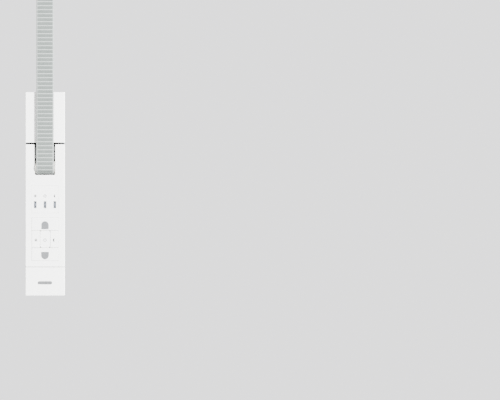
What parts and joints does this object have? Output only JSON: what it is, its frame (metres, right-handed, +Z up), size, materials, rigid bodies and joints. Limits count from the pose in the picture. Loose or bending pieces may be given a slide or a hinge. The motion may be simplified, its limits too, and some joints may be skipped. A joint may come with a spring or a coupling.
{
  "type": "roller shutter motor",
  "caption": "Flush-mounted electric belt winder for a roller shutter: narrow front with keys and slide switches, reel and geared motor in the wall.",
  "frame": {"origin": "on the wall's surface, midway between the two slotted fixing holes", "axes": "+X across the front to the right as the user sees it, +Y into the wall, +Z up"},
  "size_m": [0.052, 0.1517, 0.4203],
  "materials": {
    "front_white": "fine satin white ABS",
    "badge_grey": "brushed grey badge",
    "key_white": "matt white key caps",
    "switch_grey": "blue-grey switch knobs",
    "belt_webbing": "ribbed grey-green webbing",
    "housing_plastic": "dark grey glass-filled nylon",
    "frame_plastic": "dark grey moulded frame",
    "zinc_steel": "zinc-plated steel",
    "roller_plastic": "natural acetal",
    "reel_plastic": "natural nylon",
    "worm_brass": "cut brass",
    "bronze": "sintered bronze",
    "magnet_black": "sintered ferrite",
    "pcb_green": "solder-masked laminate",
    "chip_black": "moulded epoxy",
    "laminated_steel": "varnished laminations",
    "coil_tape": "yellow polyester tape over the winding",
    "relay_blue": "blue relay cases",
    "capacitor_sleeve": "shrink sleeve",
    "terminal_green": "green terminal housing",
    "grommet_rubber": "black rubber",
    "guide_plastic": "white moulded guide"
  },
  "bodies": {
    "winder": {"axle_clips": "zinc_steel", "bearing_block": "housing_plastic", "belt_guide": "guide_plastic", "belt_run_inside": "belt_webbing", "belt_run_outside": "belt_webbing", "board_screws": "zinc_steel", "bracket_screws": "zinc_steel", "cable_clamp": "housing_plastic", "cable_grommet": "grommet_rubber", "clamp_screws": "zinc_steel", "control_board": "pcb_green", "frame_screws": "zinc_steel", "front_panel": "front_white", "gear_plate": "zinc_steel", "hall_sensor": "chip_black", "housing_left": "housing_plastic", "housing_right": "housing_plastic", "housing_screws": "zinc_steel", "microcontroller": "chip_black", "motor_can": "zinc_steel", "motor_end_cap": "chip_black", "motor_magnets": "magnet_black", "motor_relays": "relay_blue", "motor_screws": "zinc_steel", "mounting_frame": "frame_plastic", "power_board": "pcb_green", "reel_axle": "zinc_steel", "roller_axle": "zinc_steel", "roller_bracket": "zinc_steel", "slide_switch_bodies": "chip_black", "smoothing_capacitor": "capacitor_sleeve", "switch_plate": "front_white", "tact_switches": "chip_black", "terminal_block": "terminal_green", "terminal_screws": "zinc_steel", "transformer_coil": "coil_tape", "transformer_core": "laminated_steel", "wheel_axle": "zinc_steel", "worm_bearing": "bronze"},
    "upper_cover": {"upper_cover": "front_white"},
    "lower_cover": {"lower_cover": "front_white", "blank_badge": "badge_grey"},
    "up_key": {"up_key": "key_white"},
    "down_key": {"down_key": "key_white"},
    "sun_key": {"sun_key": "key_white"},
    "set_key": {"set_key": "key_white"},
    "moon_key": {"moon_key": "key_white"},
    "left_switch_knob": {"left_switch_knob": "switch_grey"},
    "middle_switch_knob": {"middle_switch_knob": "switch_grey"},
    "right_switch_knob": {"right_switch_knob": "switch_grey"},
    "deflection_roller": {"deflection_roller": "roller_plastic"},
    "reel": {"reel_hub": "reel_plastic", "reel_gear": "reel_plastic", "belt_winding": "belt_webbing"},
    "wheel_and_pinion": {"worm_wheel": "roller_plastic", "drive_pinion": "roller_plastic"},
    "worm_shaft": {"worm": "worm_brass", "motor_shaft": "zinc_steel", "motor_armature": "laminated_steel", "encoder_disc": "magnet_black"}
  },
  "joints": [
    {"name": "upper_cover_slide", "type": "slide", "parent": "winder", "child": "upper_cover", "axis": [0, 0, 1], "range_m": [0, 0.062]},
    {"name": "lower_cover_pull", "type": "slide", "parent": "winder", "child": "lower_cover", "axis": [0, -1, 0], "range_m": [0, 0.025]},
    {"name": "up_key_press", "type": "slide", "parent": "winder", "child": "up_key", "axis": [0, 1, 0], "range_m": [0, 0.0008], "stiffness_N_per_m": 300, "springref_m": -0.001},
    {"name": "down_key_press", "type": "slide", "parent": "winder", "child": "down_key", "axis": [0, 1, 0], "range_m": [0, 0.0008], "stiffness_N_per_m": 300, "springref_m": -0.001},
    {"name": "sun_key_press", "type": "slide", "parent": "winder", "child": "sun_key", "axis": [0, 1, 0], "range_m": [0, 0.0008], "stiffness_N_per_m": 300, "springref_m": -0.001},
    {"name": "set_key_press", "type": "slide", "parent": "winder", "child": "set_key", "axis": [0, 1, 0], "range_m": [0, 0.0008], "stiffness_N_per_m": 300, "springref_m": -0.001},
    {"name": "moon_key_press", "type": "slide", "parent": "winder", "child": "moon_key", "axis": [0, 1, 0], "range_m": [0, 0.0008], "stiffness_N_per_m": 300, "springref_m": -0.001},
    {"name": "left_switch_slide", "type": "slide", "parent": "winder", "child": "left_switch_knob", "axis": [0, 0, 1], "range_m": [-0.0028, 0.0028]},
    {"name": "middle_switch_slide", "type": "slide", "parent": "winder", "child": "middle_switch_knob", "axis": [0, 0, 1], "range_m": [-0.0028, 0.0028]},
    {"name": "right_switch_slide", "type": "slide", "parent": "winder", "child": "right_switch_knob", "axis": [0, 0, 1], "range_m": [-0.0028, 0.0028]},
    {"name": "roller_spin", "type": "hinge", "parent": "winder", "child": "deflection_roller", "pos_m": [0, -0.0049, 0.0356], "axis": [1, 0, 0], "continuous": true},
    {"name": "reel_spin", "type": "hinge", "parent": "winder", "child": "reel", "pos_m": [0, 0.066, -0.035], "axis": [1, 0, 0], "continuous": true},
    {"name": "wheel_spin", "type": "hinge", "parent": "winder", "child": "wheel_and_pinion", "pos_m": [0, 0.09262, 0.0221], "axis": [1, 0, 0], "continuous": true},
    {"name": "worm_spin", "type": "hinge", "parent": "winder", "child": "worm_shaft", "pos_m": [0, 0, 0.0397], "axis": [0, 1, 0], "continuous": true}
  ],
  "couplings": [
    {"joint": "wheel_spin", "follows": "worm_spin", "ratio": 0.1},
    {"joint": "reel_spin", "follows": "worm_spin", "ratio": -0.0125},
    {"joint": "roller_spin", "follows": "worm_spin", "ratio": 0.051729}
  ]
}
